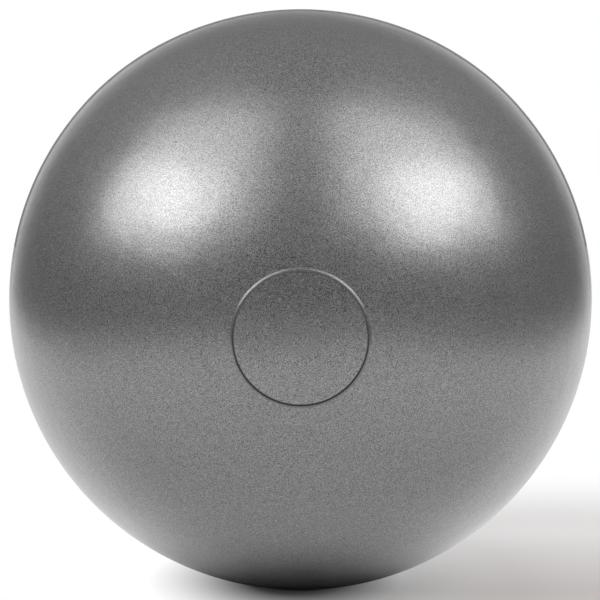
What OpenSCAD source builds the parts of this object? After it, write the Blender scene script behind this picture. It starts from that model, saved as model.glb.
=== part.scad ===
// Inflated exercise ball that stands on its own settled foot, with its fill valve and plug.
// Lengths are millimetres. The origin is the middle of the foot, on the floor, and +Z is up.
// The raised disc looks along -Y, and the fill valve is at the back, on +Y.

/* [Ball] */
// Diameter of the inflated ball at its widest
ball_d = 650; // [450:10:850]
// Thickness of the soft skin
wall_t = 1; // [0.6:0.1:2]
// Diameter of the flat foot that bears on the floor
foot_d = 81; // [40:1:100]
// Radius of the bend between the foot and the round of the ball
foot_bend_r = 140.5; // [100:0.5:180]

/* [Raised disc] */
// Diameter of the raised disc on the front, along the crest of its rim
disc_d = 140; // [80:1:220]
// Height of the middle of the disc's face above the skin
disc_h = 0.3; // [0.2:0.1:1]
// How much higher the face stands at its rim, because it bulges less than the ball
disc_lift = 1; // [0.4:0.1:1.6]
// Rise of the disc's rounded rim above its face
disc_rim_rise = 0.6; // [0.2:0.1:0.8]
// Radius of the rim's rounding
disc_rim_r = 2.8; // [2.2:0.1:4]

/* [Valve seat] */
// Diameter of the collar that fills the hole in the skin
collar_d = 26; // [24:1:36]
// Diameter of the flange bonded to the inside of the skin
flange_d = 46; // [40:1:70]
// Thickness of the flange
flange_t = 1.6; // [1:0.2:3]
// Thickness of the floor under the plug's head
floor_t = 2; // [1.2:0.2:4]
// Diameter of the bore at its inner end
bore_d = 8.4; // [6:0.2:10]
// How much wider the bore is at its mouth
bore_taper = 1; // [0.4:0.1:2]
// Length of the bore below the plug's head
bore_len = 18; // [14:1:30]
// Chamfer at the mouth of the bore
bore_lead = 0.6; // [0.2:0.1:1]
// Wall of the neck round the bore
neck_t = 3; // [2:0.2:5]
// Chamfer at the inner end of the neck
neck_end = 1.2; // [0.4:0.2:1.6]

/* [Plug] */
// Diameter of the plug's head
head_d = 18; // [16:0.5:20]
// Thickness of the head at its rounded rim
head_t = 2; // [1.4:0.2:3]
// Rise of the domed head above its rim
head_rise = 0.5; // [0.2:0.1:1]
// Number of sealing ribs round the stem
rib_count = 3; // [2:1:4]
// Height of a rib above the stem
rib_h = 0.5; // [0.3:0.1:0.7]
// Radius of a rib's rounded edge
rib_r = 0.9; // [0.8:0.1:1.4]
// Length of the stem that passes the inner end of the bore
tip_len = 5; // [3:0.5:8]
// How much the radius narrows along that tip
tip_draw = 0.9; // [0.3:0.1:1.2]
// Diameter of the hollow in the stem
core_d = 4; // [2:0.5:4.5]
// Solid length left between the hollow and the head
core_web = 3; // [1:0.5:6]

/* [Fits] */
// Clearance between the sealing ribs and the bore
rib_gap = 0.06; // [0.02:0.01:0.1]
// Clearance round the plug's head
head_gap = 0.3; // [0.2:0.05:0.6]
// Bond line between the skin and the valve seat
bond_t = 0.05; // [0.02:0.01:0.1]

/* [Hidden] */
$fn = 180;
// Length by which a cut passes the face that it opens
over = 1;

// Ball: the foot's bend touches the round of the ball from inside at foot_angle from straight down
ball_r = ball_d / 2;
inner_r = ball_r - wall_t;
foot_r = foot_d / 2;
bend_offset = ball_r - foot_bend_r;
foot_angle = asin(foot_r / bend_offset);
centre_z = foot_bend_r + bend_offset * cos(foot_angle);

// Disc: the crest of its rim lies at disc_angle from the front, and its face is an arc of disc_face_r
// that runs from the middle to the edge under that crest
disc_edge_r = ball_r + disc_h + disc_lift;
disc_crest_r = disc_edge_r + disc_rim_rise;
disc_angle = asin(disc_d / 2 / disc_crest_r);
disc_half = disc_edge_r * sin(disc_angle);
disc_sag = ball_r + disc_h - disc_edge_r * cos(disc_angle);
disc_face_r = (disc_half * disc_half + disc_sag * disc_sag) / (2 * disc_sag);

// Valve: heights along its axis are measured from the face that the plug's head rests on
seat_r = ball_r - head_t - head_rise;
neck_r = (bore_d + bore_taper) / 2 + neck_t;
stem_len = bore_len + tip_len;

// Plug head: a half-round rim of rim_r and a dome of dome_arc_r inside it
rim_r = head_t / 2;
dome_r = head_d / 2 - rim_r;
dome_arc_r = (dome_r * dome_r + head_rise * head_rise) / (2 * head_rise);

// Radius of the tapered bore, and of the stem between its ribs, at a depth below the head
function bore_r(depth) = (bore_d + bore_taper * (1 - depth / bore_len)) / 2;
function stem_r(depth) = bore_r(depth) - rib_gap - rib_h;

// Direction in a half section, turned outwards from straight down
function from_straight_down(angle) = [sin(angle), -cos(angle)];

// Turns a shape made about +Z, with z measured from the ball's centre, to look along -Y or +Y
module facing_front() {
    translate([0, 0, centre_z]) rotate([90, 0, 0]) children();
}
module facing_back() {
    translate([0, 0, centre_z]) rotate([-90, 0, 0]) children();
}

// Half section of the ball's outline, moved inwards by inset: the round above a line from the ball's
// centre to the joint, and the bend and flat foot, which reach past that line inside the round
module ball_half(inset) {
    reach = 2 * ball_d;
    lap_angle = 2;
    centre = [0, centre_z];
    past_joint = centre + reach * from_straight_down(foot_angle);
    past_lap = centre + reach * from_straight_down(foot_angle + lap_angle);
    intersection() {
        translate(centre) circle(ball_r - inset);
        polygon([centre, past_joint, [reach, -reach], [reach, reach], [0, reach]]);
    }
    intersection() {
        union() {
            translate([foot_r, foot_bend_r]) circle(foot_bend_r - inset);
            translate([0, inset]) square([foot_r, centre_z]);
        }
        polygon([centre, [0, -reach], past_lap]);
    }
}

// Soft skin in one piece, with the raised disc on its front and the hole for the valve at its back
module ball_skin() {
    color([0.42, 0.42, 0.43]) difference() {
        union() {
            rotate_extrude() ball_half(0);
            facing_front() rotate_extrude() raised_disc_section();
        }
        rotate_extrude() ball_half(wall_t);
        facing_back() cylinder(r = collar_d / 2 + bond_t, h = ball_d);
    }
}

// The disc's face is flatter than the ball, and its rounded rim is rooted in the skin
module raised_disc_section() {
    intersection() {
        translate([0, ball_r + disc_h - disc_face_r]) circle(disc_face_r);
        translate([0, ball_r / 2]) square([disc_half, ball_r]);
    }
    rotate(-disc_angle) translate([0, disc_crest_r - disc_rim_r]) circle(disc_rim_r);
}

// Soft insert: flange under the skin, collar through it, and a neck with the tapered bore
module valve_seat() {
    color([0.3, 0.3, 0.31]) facing_back() rotate_extrude() difference() {
        union() {
            flange_section();
            intersection() {
                circle(ball_r);
                translate([0, seat_r - floor_t]) square([collar_d / 2, ball_r]);
            }
            translate([0, seat_r]) neck_section();
        }
        translate([0, seat_r]) plug_room_section();
    }
}

module flange_section() {
    intersection() {
        difference() {
            circle(inner_r - bond_t);
            circle(inner_r - bond_t - flange_t);
        }
        square([flange_d / 2, ball_r]);
    }
}

module neck_section() {
    polygon([
        [0, -bore_len],
        [neck_r - neck_end, -bore_len],
        [neck_r, neck_end - bore_len],
        [neck_r, -floor_t / 2],
        [0, -floor_t / 2]
    ]);
}

// Pocket for the plug's head and the bore for its stem
module plug_room_section() {
    square([head_d / 2 + head_gap, ball_r]);
    polygon([
        [0, -bore_len - over],
        [bore_r(bore_len), -bore_len - over],
        [bore_r(bore_len), -bore_len],
        [bore_r(bore_lead), -bore_lead],
        [bore_r(0) + bore_lead, 0],
        [bore_r(0) + bore_lead, over],
        [0, over]
    ]);
}

// Push-in plug: domed head, hollow tapered stem and rounded sealing ribs
module valve_plug() {
    color([0.88, 0.88, 0.86]) facing_back() translate([0, 0, seat_r]) rotate_extrude() {
        head_section();
        stem_section();
    }
}

module head_section() {
    square([dome_r, head_t]);
    translate([dome_r, rim_r]) circle(rim_r);
    intersection() {
        translate([0, head_t + head_rise - dome_arc_r]) circle(dome_arc_r);
        translate([0, rim_r]) square([dome_r, head_t + head_rise]);
    }
}

module stem_section() {
    difference() {
        union() {
            polygon([
                [0, -stem_len],
                [stem_r(bore_len) - tip_draw, -stem_len],
                [stem_r(bore_len), -bore_len],
                [stem_r(0), 0],
                [stem_r(0), rim_r],
                [0, rim_r]
            ]);
            for (i = [0:rib_count - 1]) {
                depth = bore_len * (i + 0.5) / rib_count;
                translate([bore_r(depth) - rib_gap - rib_r, -depth]) circle(rib_r);
            }
        }
        translate([0, -stem_len - over]) square([core_d / 2, stem_len - core_web + over]);
    }
}

ball_skin();
valve_seat();
valve_plug();
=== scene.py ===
import math

import bmesh
import bpy
from mathutils import Matrix, Vector


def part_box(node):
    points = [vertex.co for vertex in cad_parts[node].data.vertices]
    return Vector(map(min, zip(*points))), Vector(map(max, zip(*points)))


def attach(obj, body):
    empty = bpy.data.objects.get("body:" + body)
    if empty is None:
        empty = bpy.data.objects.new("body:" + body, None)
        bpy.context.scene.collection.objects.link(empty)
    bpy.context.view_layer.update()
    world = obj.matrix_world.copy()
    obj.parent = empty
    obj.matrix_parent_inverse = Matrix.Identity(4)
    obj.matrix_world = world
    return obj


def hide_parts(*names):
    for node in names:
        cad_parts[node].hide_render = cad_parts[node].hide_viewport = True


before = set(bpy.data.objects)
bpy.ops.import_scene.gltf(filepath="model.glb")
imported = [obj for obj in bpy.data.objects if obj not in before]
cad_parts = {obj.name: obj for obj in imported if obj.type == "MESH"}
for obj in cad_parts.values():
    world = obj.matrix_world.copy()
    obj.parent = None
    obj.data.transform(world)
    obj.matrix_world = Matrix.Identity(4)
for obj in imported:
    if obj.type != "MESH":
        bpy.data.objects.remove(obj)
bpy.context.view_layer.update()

scene = bpy.context.scene
scene.view_settings.view_transform = "Standard"

# Sizes in metres: those that the frame shows are read from it, and the others repeat the part's own values
MM = 0.001
_, skin_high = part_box("ball_skin")
seat_low, seat_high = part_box("valve_seat")
plug_low, plug_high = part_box("valve_plug")

BALL_R = plug_high[1]
CENTRE_Z = skin_high[2] - BALL_R
WALL_T = 1.0 * MM
FOOT_R = 40.5 * MM
FOOT_BEND_R = 140.5 * MM

DISC_R = 70.0 * MM
DISC_H = 0.3 * MM
DISC_LIFT = 1.0 * MM
DISC_RIM_RISE = 0.6 * MM
RIM_SHOULDER = 2.0 * MM
RIM_SLOPE = 2.4 * MM

COLLAR_R = 13.0 * MM
FLANGE_R = (seat_high[0] - seat_low[0]) / 2
FLANGE_T = 1.6 * MM
FLOOR_T = 2.0 * MM
BORE_R = 4.2 * MM
BORE_TAPER = 0.5 * MM
BORE_LEN = 18.0 * MM
BORE_LEAD = 0.6 * MM
NECK_T = 3.0 * MM
NECK_END = 1.2 * MM

HEAD_R = (plug_high[0] - plug_low[0]) / 2
HEAD_T = 2.0 * MM
HEAD_RISE = 0.5 * MM
RIB_COUNT = 3
RIB_H = 0.5 * MM
RIB_R = 0.9 * MM
CORE_R = 2.0 * MM
CORE_WEB = 3.0 * MM
TIP_LEN = 5.0 * MM
TIP_DRAW = 0.9 * MM

RIB_GAP = 0.06 * MM
HEAD_GAP = 0.3 * MM
BOND_T = 0.05 * MM

# Valve heights run outwards along its axis from the face that the plug's head rests on
SEAT_Y = plug_high[1] - HEAD_T - HEAD_RISE


def grey(level):
    """A colour with the same level in all three channels."""
    return (level, level, level)


# Node trees

def link(tree, source, target):
    """Joins an output to an input, or sets the input where source is a plain value."""
    if isinstance(source, bpy.types.NodeSocket):
        tree.links.new(source, target)
    else:
        target.default_value = source


class Nodes:
    """Short words for the nodes of one tree."""

    def __init__(self, tree):
        self.tree = tree

    def node(self, kind, **settings):
        made = self.tree.nodes.new(kind)
        for name, value in settings.items():
            setattr(made, name, value)
        return made

    def math(self, operation, *values):
        made = self.node("ShaderNodeMath", operation=operation)
        for i, value in enumerate(values):
            link(self.tree, value, made.inputs[i])
        return made.outputs[0]

    def add(self, *values):
        total = values[0]
        for value in values[1:]:
            total = self.math("ADD", total, value)
        return total

    def sub(self, a, b):
        return self.math("SUBTRACT", a, b)

    def mul(self, *values):
        product = values[0]
        for value in values[1:]:
            product = self.math("MULTIPLY", product, value)
        return product

    def div(self, a, b):
        return self.math("DIVIDE", a, b)

    def root(self, a):
        return self.math("SQRT", self.math("MAXIMUM", a, 0.0))

    def length(self, a, b):
        """Distance from the origin of a point with these two coordinates."""
        return self.root(self.add(self.mul(a, a), self.mul(b, b)))

    def parts(self, vector):
        """The x, y and z of a vector."""
        made = self.node("ShaderNodeSeparateXYZ")
        link(self.tree, vector, made.inputs[0])
        return made.outputs["X"], made.outputs["Y"], made.outputs["Z"]

    def choose(self, switch, if_off, if_on):
        """if_off where switch is 0, if_on where it is 1, and a blend between."""
        return self.add(if_off, self.mul(switch, self.sub(if_on, if_off)))

    def ramp(self, value, start, end, low=0.0, high=1.0, smooth=False):
        """low before start, high after end, and a slope between."""
        made = self.node("ShaderNodeMapRange", clamp=True)
        if smooth:
            made.interpolation_type = "SMOOTHSTEP"
        given = {"Value": value, "From Min": start, "From Max": end, "To Min": low, "To Max": high}
        for name, number in given.items():
            link(self.tree, number, made.inputs[name])
        return made.outputs["Result"]

    def mix(self, factor, first, second):
        """The first colour where factor is 0, the second where it is 1, and a blend between."""
        made = self.node("ShaderNodeMix", data_type="RGBA")
        link(self.tree, factor, made.inputs["Factor"])
        for socket, colour in ((made.inputs[6], first), (made.inputs[7], second)):
            link(self.tree, colour if isinstance(colour, bpy.types.NodeSocket) else (*colour, 1.0), socket)
        return made.outputs[2]


def grown(name, tree, values):
    """A plain mesh object from a Geometry Nodes tree and the values of its named inputs."""
    holder = bpy.data.objects.new(name + "_tree", bpy.data.meshes.new(name + "_tree"))
    scene.collection.objects.link(holder)
    modifier = holder.modifiers.new("tree", "NODES")
    modifier.node_group = tree
    for socket in tree.interface.items_tree:
        if socket.in_out == "INPUT":
            modifier[socket.identifier] = values[socket.name]
    bpy.context.view_layer.update()
    depsgraph = bpy.context.evaluated_depsgraph_get()
    mesh = bpy.data.meshes.new_from_object(holder.evaluated_get(depsgraph))
    mesh.name = name
    holder.modifiers.remove(modifier)
    bpy.data.objects.remove(holder)
    made = bpy.data.objects.new(name, mesh)
    scene.collection.objects.link(made)
    return made


# Soft skin: rings about the axis from the front to the valve hole at the back, then back along the inside

SKIN_SIZES = {
    "Ball radius": BALL_R,
    "Centre height": CENTRE_Z,
    "Wall": WALL_T,
    "Foot radius": FOOT_R,
    "Foot bend radius": FOOT_BEND_R,
    "Settled share": 0.994,
    "Settled from": 0.7,
    "Disc radius": DISC_R,
    "Disc height": DISC_H,
    "Disc lift": DISC_LIFT,
    "Rim rise": DISC_RIM_RISE,
    "Rim shoulder": RIM_SHOULDER,
    "Rim slope": RIM_SLOPE,
    "Rim band": 3.4 * MM,
    "Parting height": 0.07 * MM,
    "Parting half": 1.1 * MM,
    "Parting band": 2.2 * MM,
    "Hole radius": COLLAR_R + BOND_T,
    "Lip": 0.4 * MM,
}
SKIN_COUNTS = {
    "Segments": 288,
    "Face rings": 14,
    "Rim rings": 32,
    "Front rings": 60,
    "Parting rings": 16,
    "Back rings": 72,
    "Lip rings": 5,
    "Inner rings": 100,
}
SEAM_GAP = 0.001 * MM


def skin_tree():
    tree = bpy.data.node_groups.new("soft_skin", "GeometryNodeTree")
    for label in SKIN_SIZES:
        tree.interface.new_socket(label, in_out="INPUT", socket_type="NodeSocketFloat")
    for label in SKIN_COUNTS:
        tree.interface.new_socket(label, in_out="INPUT", socket_type="NodeSocketInt")
    tree.interface.new_socket("Material", in_out="INPUT", socket_type="NodeSocketMaterial")
    tree.interface.new_socket("Geometry", in_out="OUTPUT", socket_type="NodeSocketGeometry")
    n = Nodes(tree)
    given = n.node("NodeGroupInput").outputs
    ball_r = given["Ball radius"]
    wall = given["Wall"]

    # Angles from the front of the rim's crest, of the parting line and of the hole's edge
    rim_h = n.add(given["Disc height"], given["Disc lift"], given["Rim rise"])
    crest_r = n.add(ball_r, rim_h)
    rim_angle = n.math("ARCSINE", n.div(given["Disc radius"], crest_r))
    rim_band = n.div(given["Rim band"], ball_r)
    parting_angle = math.pi / 2
    parting_half = n.div(given["Parting half"], ball_r)
    parting_band = n.div(given["Parting band"], ball_r)
    lip_angle = n.div(given["Lip"], ball_r)
    hole_angle = n.sub(math.pi, n.math("ARCSINE", n.div(given["Hole radius"], ball_r)))

    # Rings in zones, each with its count and the angle at its end. Where the skin has detail they lie close
    # together, and the rings of a wide zone close up towards its ends
    zones = [
        ("Face rings", n.sub(rim_angle, rim_band), "wide"),
        ("Rim rings", n.add(rim_angle, rim_band), "close"),
        ("Front rings", n.sub(parting_angle, parting_band), "wide"),
        ("Parting rings", n.add(parting_angle, parting_band), "close"),
        ("Back rings", n.sub(hole_angle, lip_angle), "wide"),
        ("Lip rings", hole_angle, "close"),
    ]
    index = n.node("GeometryNodeInputIndex").outputs[0]
    outer_end = n.add(*[given[label] for label, _, _ in zones])
    rows = n.add(outer_end, given["Inner rings"], 1.0)
    ring = n.math("MODULO", index, rows)
    segment = n.math("FLOOR", n.div(n.add(index, 0.5), rows))
    # Turned this way round, the faces look outwards
    around = n.mul(-math.tau, n.div(segment, given["Segments"]))
    inside = n.math("GREATER_THAN", ring, n.add(outer_end, 0.5))
    angle = 0.0
    zone_start = 0.0
    angle_before = 0.0
    for label, angle_after, spacing in zones:
        zone_end = n.add(zone_start, given[label])
        span = n.sub(angle_after, angle_before)
        angle = n.add(angle, n.ramp(ring, zone_start, zone_end, high=span, smooth=spacing == "wide"))
        zone_start = zone_end
        angle_before = angle_after
    inner_first = n.add(outer_end, 1.0)
    inner_last = n.add(outer_end, given["Inner rings"])
    angle = n.sub(angle, n.ramp(ring, inner_first, inner_last, high=hole_angle))

    # Distance from the ball's centre: the round, the disc with its proud rim, and the fine parting line
    past_rim = n.mul(ball_r, n.sub(angle, rim_angle))
    to_rim = n.math("MINIMUM", n.div(angle, rim_angle), 1.0)
    lift = n.mul(given["Disc lift"], to_rim, to_rim)
    shoulder = n.mul(given["Rim shoulder"], -1.0)
    rim = n.ramp(past_rim, shoulder, 0.0, 0.0, given["Rim rise"], smooth=True)
    rise = n.add(given["Disc height"], lift, rim)
    fall = n.ramp(past_rim, 0.0, given["Rim slope"], rim_h, 0.0, smooth=True)
    from_parting = n.math("ABSOLUTE", n.sub(angle, parting_angle))
    parting = n.mul(given["Parting height"], n.ramp(from_parting, parting_half, 0.0, smooth=True))
    outer = n.add(ball_r, n.math("MINIMUM", rise, fall), parting)
    away = n.choose(inside, outer, n.sub(ball_r, wall))
    x = n.mul(away, n.math("SINE", angle), n.math("COSINE", around))
    y = n.mul(away, n.math("COSINE", angle), -1.0)
    up = n.mul(away, n.math("SINE", angle), n.math("SINE", around))

    # The top of the ball has settled a little
    settle_start = n.mul(ball_r, given["Settled from"])
    up = n.mul(up, n.ramp(up, settle_start, ball_r, 1.0, given["Settled share"], smooth=True))

    # Settled foot: flat inside the foot radius, then a bend that runs into the round
    inset = n.mul(inside, wall)
    bend_r = given["Foot bend radius"]
    from_axis = n.length(x, y)
    joint = n.div(n.mul(n.sub(ball_r, inset), given["Foot radius"]), n.sub(ball_r, bend_r))
    on_foot = n.mul(n.math("LESS_THAN", from_axis, joint), n.math("LESS_THAN", up, 0.0))
    past_flat = n.math("MAXIMUM", n.sub(from_axis, given["Foot radius"]), 0.0)
    bend_reach = n.sub(n.math("POWER", n.sub(bend_r, inset), 2.0), n.mul(past_flat, past_flat))
    foot_z = n.sub(bend_r, n.root(bend_reach))
    z = n.choose(on_foot, n.add(given["Centre height"], up), foot_z)

    # A flat grid is wrapped into the shell, and its seam and poles are closed
    grid = n.node("GeometryNodeMeshGrid")
    link(tree, n.add(given["Segments"], 1.0), grid.inputs["Vertices X"])
    link(tree, rows, grid.inputs["Vertices Y"])
    place = n.node("ShaderNodeCombineXYZ")
    for socket, value in zip(place.inputs, (x, y, z)):
        link(tree, value, socket)
    wrap = n.node("GeometryNodeSetPosition")
    link(tree, place.outputs[0], wrap.inputs["Position"])
    close = n.node("GeometryNodeMergeByDistance")
    close.inputs["Distance"].default_value = SEAM_GAP
    smooth = n.node("GeometryNodeSetShadeSmooth")
    real = n.node("GeometryNodeRealizeInstances")
    finish = n.node("GeometryNodeSetMaterial")
    link(tree, given["Material"], finish.inputs["Material"])
    geometry = grid.outputs["Mesh"]
    for step in (wrap, close, smooth, real, finish):
        link(tree, geometry, step.inputs["Geometry"])
        geometry = step.outputs["Geometry"]
    link(tree, geometry, n.node("NodeGroupOutput").inputs["Geometry"])
    return tree


# Pieces turned about the valve's axis

def arc(centre_r, centre_h, radius, start, end, steps=10):
    """Points along an arc, with angles in degrees from outwards towards the top."""
    points = []
    for i in range(steps + 1):
        angle = math.radians(start + (end - start) * i / steps)
        points.append((centre_r + radius * math.cos(angle), centre_h + radius * math.sin(angle)))
    return points


def rounded(corners, steps=5):
    """A closed outline through corners given as (radius, height, rounding), each rounded by an arc."""
    points = []
    for i, (r, h, rounding) in enumerate(corners):
        corner = Vector((r, h))
        before = (Vector(corners[i - 1][:2]) - corner).normalized()
        after = (Vector(corners[(i + 1) % len(corners)][:2]) - corner).normalized()
        half = before.angle(after) / 2
        middle = corner + (before + after).normalized() * rounding / math.sin(half)
        start = (corner + before * rounding / math.tan(half) - middle).normalized()
        end = (corner + after * rounding / math.tan(half) - middle).normalized()
        points += [middle + rounding * start.slerp(end, k / steps) for k in range(steps + 1)]
    return points


def turned(name, outline, closed, finish, segments=96):
    """Turns an outline of (radius, height) points; an open one starts and ends on the axis."""
    shape = bmesh.new()
    rings = []
    for r, h in outline:
        count = segments if r > 0 else 1
        turns = [math.tau * k / count for k in range(count)]
        rings.append([
            shape.verts.new((r * math.cos(t), SEAT_Y + h, CENTRE_Z + r * math.sin(t))) for t in turns
        ])
    pairs = list(zip(rings, rings[1:]))
    if closed:
        pairs.append((rings[-1], rings[0]))
    for first, second in pairs:
        for k in range(segments):
            loop = [first[k % len(first)], first[(k + 1) % len(first)]]
            loop += [second[(k + 1) % len(second)], second[k % len(second)]]
            shape.faces.new(dict.fromkeys(loop))
    bmesh.ops.recalc_face_normals(shape, faces=shape.faces)
    for face in shape.faces:
        face.smooth = True
    mesh = bpy.data.meshes.new(name)
    shape.to_mesh(mesh)
    shape.free()
    mesh.materials.append(finish)
    made = bpy.data.objects.new(name, mesh)
    scene.collection.objects.link(made)
    return made


def bore_r(depth):
    """Radius of the tapered bore at a depth below the plug's head."""
    return BORE_R + BORE_TAPER * (1 - depth / BORE_LEN)


def stem_r(depth):
    """Radius of the plug's stem between its ribs."""
    return bore_r(depth) - RIB_GAP - RIB_H


def seat_outline():
    """Bore, pocket, collar, flange and neck, as corners of (radius, height, rounding)."""
    neck_r = bore_r(0) + NECK_T
    pocket_r = HEAD_R + HEAD_GAP
    flange_top = BALL_R - WALL_T - BOND_T

    def on_round(round_r, r):
        return math.sqrt(round_r ** 2 - r ** 2) - SEAT_Y

    return rounded([
        (bore_r(BORE_LEN), -BORE_LEN, 0.3 * MM),
        (bore_r(BORE_LEAD), -BORE_LEAD, 0.2 * MM),
        (bore_r(0) + BORE_LEAD, 0, 0.2 * MM),
        (pocket_r, 0, 0.3 * MM),
        (pocket_r, on_round(BALL_R, pocket_r), 0.4 * MM),
        (COLLAR_R, on_round(BALL_R, COLLAR_R), 0.3 * MM),
        (COLLAR_R, on_round(flange_top, COLLAR_R), 0.1 * MM),
        (FLANGE_R, on_round(flange_top, FLANGE_R), 0.4 * MM),
        (FLANGE_R, on_round(flange_top - FLANGE_T, FLANGE_R), 0.6 * MM),
        (COLLAR_R, on_round(flange_top - FLANGE_T, COLLAR_R), 0.4 * MM),
        (COLLAR_R, -FLOOR_T, 0.5 * MM),
        (neck_r, -FLOOR_T, 1.0 * MM),
        (neck_r, NECK_END - BORE_LEN, 0.4 * MM),
        (neck_r - NECK_END, -BORE_LEN, 0.4 * MM),
    ])


def plug_outline():
    """Half section of the plug from the top of its head to the end of its hollow."""
    rim_r = HEAD_T / 2
    dome_r = HEAD_R - rim_r
    dome_arc_r = (dome_r ** 2 + HEAD_RISE ** 2) / (2 * HEAD_RISE)
    dome_low = HEAD_T + HEAD_RISE - dome_arc_r
    stem_len = BORE_LEN + TIP_LEN
    gate_r = 1.3 * MM
    gate_depth = 0.25 * MM
    gate_flat = 0.55
    dome_steps = 8
    rim_start = 80
    root_r = 0.4 * MM
    end_r = 0.35 * MM

    # Head: a small dimple left by moulding, the dome, the half-round rim and the fillet under it
    outline = [(0, HEAD_T + HEAD_RISE - gate_depth)]
    for share in (gate_flat, 0.7, 0.85, 1.0):
        sunk = gate_depth / 2 * (1 + math.cos(math.pi * (share - gate_flat) / (1 - gate_flat)))
        r = gate_r * share
        outline.append((r, dome_low + math.sqrt(dome_arc_r ** 2 - r ** 2) - sunk))
    for step in range(1, dome_steps + 1):
        r = gate_r + (dome_r - gate_r) * step / dome_steps
        outline.append((r, dome_low + math.sqrt(dome_arc_r ** 2 - r ** 2)))
    outline += arc(dome_r, rim_r, rim_r, rim_start, -90)
    outline += arc(stem_r(0) + root_r, -root_r, root_r, 90, 180, steps=5)

    # Stem: rounded ribs, the tip past the bore and the hollow
    rise_angle = math.degrees(math.asin(1 - RIB_H / RIB_R))
    half_span = 90 - rise_angle
    for i in range(RIB_COUNT):
        depth = BORE_LEN * (i + 0.5) / RIB_COUNT
        outline += arc(bore_r(depth) - RIB_GAP - RIB_R, -depth, RIB_R, half_span, -half_span)
    tip_r = stem_r(BORE_LEN) - TIP_DRAW
    outline.append((stem_r(BORE_LEN), -BORE_LEN))
    outline += arc(tip_r - end_r, end_r - stem_len, end_r, 0, -90, steps=5)
    outline += arc(CORE_R + end_r, end_r - stem_len, end_r, -90, -180, steps=5)
    outline += arc(CORE_R - end_r, -CORE_WEB - end_r, end_r, 0, 90, steps=5)
    outline.append((0, -CORE_WEB))
    return outline


# Materials

class Finish(Nodes):
    """A material, with short words for the textures that it uses."""

    def __init__(self, name):
        self.material = bpy.data.materials.new(name)
        self.material.use_nodes = True
        super().__init__(self.material.node_tree)
        self.shader = self.tree.nodes["Principled BSDF"]
        self.coords = self.node("ShaderNodeTexCoord").outputs["Object"]

    def set(self, **values):
        for name, value in values.items():
            link(self.tree, value, self.shader.inputs[name.replace("_", " ")])

    def noise(self, size, detail=2.0, roughness=0.5):
        """Noise with lumps about size metres across, spread over the range from 0 to 1."""
        least, most = 0.3, 0.7
        made = self.node("ShaderNodeTexNoise")
        link(self.tree, self.coords, made.inputs["Vector"])
        made.inputs["Scale"].default_value = 1.0 / size
        made.inputs["Detail"].default_value = detail
        made.inputs["Roughness"].default_value = roughness
        return self.ramp(made.outputs["Fac"], least, most)

    def bump(self, height, depth, under=None):
        """A normal raised by height times depth, over another normal where one is given."""
        made = self.node("ShaderNodeBump")
        link(self.tree, height, made.inputs["Height"])
        made.inputs["Distance"].default_value = depth
        if under is not None:
            link(self.tree, under, made.inputs["Normal"])
        return made.outputs["Normal"]


def satin_skin():
    """Soft grey PVC with a metallic pigment under a clear coat, a fine moulded grain and painted shade in
    the crease inside the disc's rim.
    """
    dark_grain = grey(0.087)
    bright_grain = grey(0.39)
    # the grey of the painted shade in the crease inside the disc's rim
    painted_shade_grey = grey(0.04)
    grain_depth = 0.055 * MM
    cloud_depth = 0.3 * MM
    crease_from = (DISC_R - 1.35 * RIM_SHOULDER, DISC_R - 0.85 * RIM_SHOULDER)
    crease_to = (DISC_R - 0.3 * RIM_SHOULDER, DISC_R + 0.2 * RIM_SHOULDER)
    crease_top = 0.8 * DISC_R
    edge_on = (0.865, 0.885)
    upper_half = (-0.05, 0.2)
    skin = Finish("satin_skin")
    grain = skin.noise(1.0 * MM, detail=1.0)
    cloud = skin.noise(40 * MM)

    # Painted shade: the colour darkens in the tight crease inside the disc's rim, where little light
    # reaches, and most of all low down
    x, y, z = skin.parts(skin.coords)
    up = skin.sub(z, CENTRE_Z)
    from_axis = skin.length(x, up)
    crease_start = skin.ramp(from_axis, *crease_from)
    crease_end = skin.ramp(from_axis, *crease_to, low=1.0, high=0.0)
    painted_shade_strength = skin.ramp(up, 0.0, crease_top, low=1.0, high=0.75, smooth=True)
    painted_crease_shade = skin.mul(crease_start, crease_end, painted_shade_strength, skin.math("LESS_THAN", y, 0.0))
    grained = skin.mix(grain, dark_grain, bright_grain)
    normal = skin.bump(grain, grain_depth, under=skin.bump(cloud, cloud_depth))

    # Gloss fades on the upper half where it is seen edge on
    facing = skin.node("ShaderNodeLayerWeight").outputs["Facing"]
    _, _, tilt = skin.parts(skin.node("ShaderNodeNewGeometry").outputs["Normal"])
    gloss = skin.sub(1.0, skin.mul(skin.ramp(facing, *edge_on), skin.ramp(tilt, *upper_half)))
    # Base colour: the grain, darkened by the painted shade in the crease
    skin.set(
        Base_Color=skin.mix(painted_crease_shade, grained, painted_shade_grey),
        Metallic=skin.mul(gloss, skin.ramp(grain, 0.0, 1.0, low=0.97, high=0.5)),
        Roughness=skin.ramp(cloud, 0.0, 1.0, low=0.275, high=0.315),
        Specular_IOR_Level=skin.mul(gloss, 0.5),
        Normal=normal,
        Coat_Weight=skin.mul(gloss, 0.8),
        Coat_Roughness=0.295,
        Coat_Normal=normal,
    )
    return skin.material


def soft_seat():
    """Smoother soft PVC in a darker grey."""
    dark_grey = (0.085, 0.085, 0.088)
    light_grey = (0.115, 0.115, 0.118)
    seat = Finish("soft_seat")
    grain = seat.noise(0.6 * MM)
    cloud = seat.noise(6 * MM)
    seat.set(
        Base_Color=seat.mix(cloud, dark_grey, light_grey),
        Roughness=seat.ramp(grain, 0.0, 1.0, low=0.38, high=0.5),
        Normal=seat.bump(grain, 0.02 * MM),
    )
    return seat.material


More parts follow.
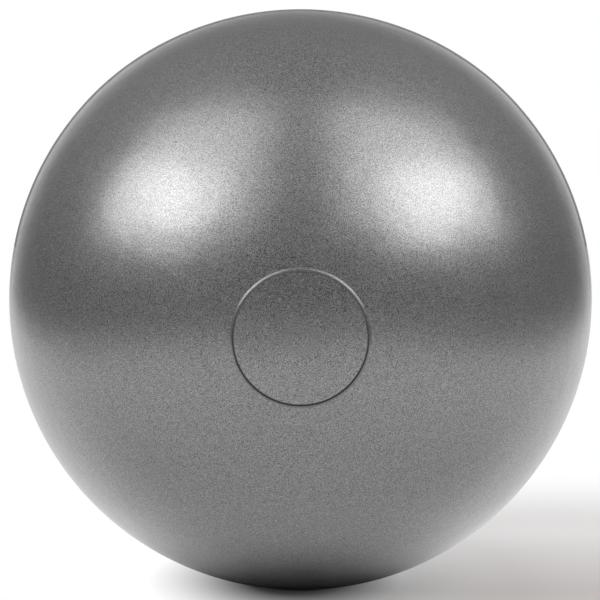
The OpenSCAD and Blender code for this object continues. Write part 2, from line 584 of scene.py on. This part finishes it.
def plug_plastic():
    """White moulded plastic that lets a little light through."""
    dim_white = (0.74, 0.74, 0.72)
    clear_white = (0.8, 0.8, 0.78)
    plug = Finish("plug_plastic")
    grain = plug.noise(0.5 * MM)
    cloud = plug.noise(5 * MM)
    plug.set(
        Base_Color=plug.mix(cloud, dim_white, clear_white),
        Roughness=plug.ramp(grain, 0.0, 1.0, low=0.32, high=0.46),
        Subsurface_Weight=0.15,
        Subsurface_Radius=(2 * MM, 2 * MM, 2 * MM),
        Normal=plug.bump(grain, 0.015 * MM),
    )
    return plug.material


# The part's pieces

skin = grown("skin", skin_tree(), {**SKIN_SIZES, **SKIN_COUNTS, "Material": satin_skin()})
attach(skin, "ball")
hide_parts("ball_skin")

seat = turned("seat", seat_outline(), True, soft_seat())
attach(seat, "ball")
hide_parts("valve_seat")

plug = turned("plug", plug_outline(), False, plug_plastic())
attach(plug, "plug")
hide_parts("valve_plug")


# Studio: a pale floor that ends in front of the ball, a white background and two softboxes on each side

FLOOR_FRONT = -2.7
FLOOR_BACK = 9.0
FLOOR_SIDE = 1.6

# Where each change in the floor's look begins and ends, in metres; most of them shape its painted shadow
# and shade
FAR_AWAY = (0.9, 1.8)
FAR_BEHIND = (0.3, 0.65)
FAR_FORWARD = (-0.12, -0.5)
LEFT_TO_RIGHT = (-0.15, 0.1)
LEFT_SHADOW = (0.06, 0.172)
RIGHT_SHADOW = (0.04, 0.115)
RIGHT_BY_BALL = (0.1, 0.25)
RIGHT_BACKWARD = (-0.06, 0.25)
MIRRORED_SHADE = (0.105, 0.325)
MIRRORED_FRONT = (-0.16, -0.32)
MIRRORED_NEAR = (0.95, 0.4)
CONTACT = (0.04, 0.16)

# Shape of the painted shade on the floor: its stretch, and how far in front of the foot it is centred
SHADOW_STRETCH = 0.75
SHADE_SQUEEZE = 1.3
SHADE_FORWARD = 0.025
CONTACT_FORWARD = 0.05
FRONT_CURVE = 0.3
FRONT_DIMMING = 0.68


def pale_floor():
    """White where the background begins, and lit near the ball so that its shadow shows, in a shape partly
    painted by shares of white.
    """
    # cool and warm tints painted into the floor's shadow, for the camera only
    painted_cool_tint = (0.69, 0.715, 0.76)
    painted_warm_tint = (0.76, 0.71, 0.695)
    pale = bpy.data.materials.new("pale_floor")
    pale.use_nodes = True
    tree = pale.node_tree
    tree.nodes.clear()
    n = Nodes(tree)
    path = n.node("ShaderNodeLightPath").outputs
    seen = path["Is Camera Ray"]
    reflected = n.math("MAXIMUM", path["Is Glossy Ray"], path["Is Transmission Ray"])
    x, y, _ = n.parts(n.node("ShaderNodeTexCoord").outputs["Object"])
    away = n.length(x, y)
    far = n.math("MAXIMUM", n.ramp(away, *FAR_AWAY, smooth=True), n.ramp(y, *FAR_BEHIND, smooth=True))

    # Painted shadow: the share of white that the camera sees shapes the shadow, short on the left and long
    # on the right
    on_right = n.ramp(x, *LEFT_TO_RIGHT, smooth=True)
    from_foot = n.length(x, n.mul(y, SHADOW_STRETCH))
    left = n.ramp(from_foot, *LEFT_SHADOW)
    by_ball = n.ramp(from_foot, *RIGHT_BY_BALL, low=0.2, high=0.0)
    backward = n.ramp(y, *RIGHT_BACKWARD, low=0.09, high=0.57)
    right = n.mul(n.ramp(from_foot, *RIGHT_SHADOW), n.add(by_ball, backward))
    seen_far = n.math("MAXIMUM", far, n.ramp(y, *FAR_FORWARD, smooth=True))
    seen_share = n.choose(seen_far, n.choose(on_right, left, right), 1.0)

    # Painted shade in reflections: the share of white that they see is none under the ball, and less in
    # front of it
    across = n.mul(x, SHADE_SQUEEZE)
    clear_of_ball = n.ramp(n.length(across, n.add(y, SHADE_FORWARD)), *MIRRORED_SHADE, smooth=True)
    frontward = n.sub(y, n.mul(n.math("ABSOLUTE", x), FRONT_CURVE))
    in_front = n.mul(n.ramp(frontward, *MIRRORED_FRONT), n.ramp(away, *MIRRORED_NEAR), FRONT_DIMMING)
    mirrored_share = n.choose(far, n.mul(clear_of_ball, n.sub(1.0, in_front)), 1.0)

    # Lit floor: painted shade darkens its colour at the contact, and for the camera a painted tint of its
    # shadow is a little cool on the left and warm on the right
    painted_shadow_tint = n.mix(seen, grey(0.72), n.mix(on_right, painted_cool_tint, painted_warm_tint))
    # painted contact shade: the floor's colour turns dark grey close to the foot
    painted_contact_shade = n.ramp(n.length(across, n.add(y, CONTACT_FORWARD)), *CONTACT)
    lit = n.node("ShaderNodeBsdfDiffuse")
    link(tree, n.mix(painted_contact_shade, grey(0.13), painted_shadow_tint), lit.inputs["Color"])
    white = n.node("ShaderNodeEmission")
    blend = n.node("ShaderNodeMixShader")
    link(tree, n.add(n.mul(seen, seen_share), n.mul(reflected, mirrored_share)), blend.inputs[0])
    link(tree, lit.outputs[0], blend.inputs[1])
    link(tree, white.outputs[0], blend.inputs[2])
    link(tree, blend.outputs[0], n.node("ShaderNodeOutputMaterial").inputs["Surface"])
    return pale


def add_floor():
    mesh = bpy.data.meshes.new("floor")
    corners = [(-FLOOR_SIDE, FLOOR_FRONT, 0), (FLOOR_SIDE, FLOOR_FRONT, 0)]
    corners += [(FLOOR_SIDE, FLOOR_BACK, 0), (-FLOOR_SIDE, FLOOR_BACK, 0)]
    mesh.from_pydata(corners, [], [(0, 1, 2, 3)])
    mesh.materials.append(pale_floor())
    made = bpy.data.objects.new("floor", mesh)
    scene.collection.objects.link(made)


def add_surroundings():
    """White to the camera; reflections see that white behind the ball and a dim room elsewhere."""
    room_rise = (0.25, 1.0)
    room_corner = (0.1, 0.25)
    white_fade = (0.05, 0.3)
    white_side = (0.84, 0.97)
    fill_depth = (-0.9, 0.2)
    world = bpy.data.worlds.new("studio")
    world.use_nodes = True
    scene.world = world
    tree = world.node_tree
    n = Nodes(tree)
    path = n.node("ShaderNodeLightPath").outputs
    x, y, z = n.parts(n.node("ShaderNodeTexCoord").outputs["Generated"])
    sideways = n.math("ABSOLUTE", x)

    # The room is lighter overhead and in its upper corners
    overhead_room = n.ramp(z, *room_rise, low=0.17, high=0.325, smooth=True)
    room = n.add(overhead_room, n.ramp(n.mul(sideways, z), *room_corner, low=0.0, high=0.08))

    # The white behind the ball fades upwards and towards the sides
    overhead = n.sub(z, n.mul(sideways, 0.35))
    above = n.ramp(overhead, *white_fade, low=1.0, high=0.28, smooth=True)
    onward = n.add(y, n.mul(sideways, 0.045), n.mul(z, -0.02))
    behind = n.mul(above, n.ramp(onward, *white_side, smooth=True))
    mirrored = n.choose(behind, room, 1.0)

    # Matt surfaces get a soft fill, most of it from the front
    fill = n.ramp(y, *fill_depth, low=0.5, high=0.2, smooth=True)
    strength = n.choose(path["Is Glossy Ray"], fill, mirrored)
    plain_white = n.math("MAXIMUM", path["Is Camera Ray"], path["Is Transmission Ray"])
    strength = n.choose(plain_white, strength, 1.0)
    background = tree.nodes["Background"]
    background.inputs["Color"].default_value = (*grey(1.0), 1.0)
    link(tree, strength, background.inputs["Strength"])


def add_softbox(name, side, towards, distance, width, height, roll, radiance):
    """A softbox that faces the ball, on the left where side is -1 and on the right where it is 1.

    Width runs front to back, and roll turns the softbox by degrees.
    """
    data = bpy.data.lights.new(name, "AREA")
    data.shape = "RECTANGLE"
    data.size = width
    data.size_y = height
    data.energy = math.pi * width * height * radiance
    made = bpy.data.objects.new(name, data)
    scene.collection.objects.link(made)
    right, back, up = towards
    out = Vector((side * right, back, up)).normalized()
    across = Vector((0, 1, 0)) - out * out.y
    across.normalize()
    upright = out.cross(across)
    turn = Matrix((across, upright, out)).transposed().to_4x4()
    place = Vector((0, 0, CENTRE_Z)) + distance * out
    rolled = Matrix.Rotation(-side * math.radians(roll), 4, "Z")
    made.matrix_world = Matrix.Translation(place) @ turn @ rolled


def add_camera():
    distance = 3.25
    elevation = math.radians(7.24)
    aim_drop = 1.45 * MM
    aim_left = 0.55 * MM
    data = bpy.data.cameras.new("camera")
    data.sensor_width = 36
    data.lens = 173.9
    made = bpy.data.objects.new("camera", data)
    scene.collection.objects.link(made)
    aim = Vector((-aim_left, 0, CENTRE_Z - aim_drop))
    made.location = aim + distance * Vector((0, -math.cos(elevation), math.sin(elevation)))
    made.rotation_euler = (math.pi / 2 - elevation, 0, 0)
    scene.camera = made


add_floor()
add_surroundings()
for side in (-1, 1):
    add_softbox(
        "softbox_low", side, towards=(0.74, -0.37, 0.56), distance=1.6,
        width=1.16, height=0.64, roll=26, radiance=2.95,
    )
    add_softbox(
        "softbox_high", side, towards=(0.53, -0.4, 0.745), distance=1.7,
        width=1.25, height=1.48, roll=61, radiance=1.54,
    )
add_camera()
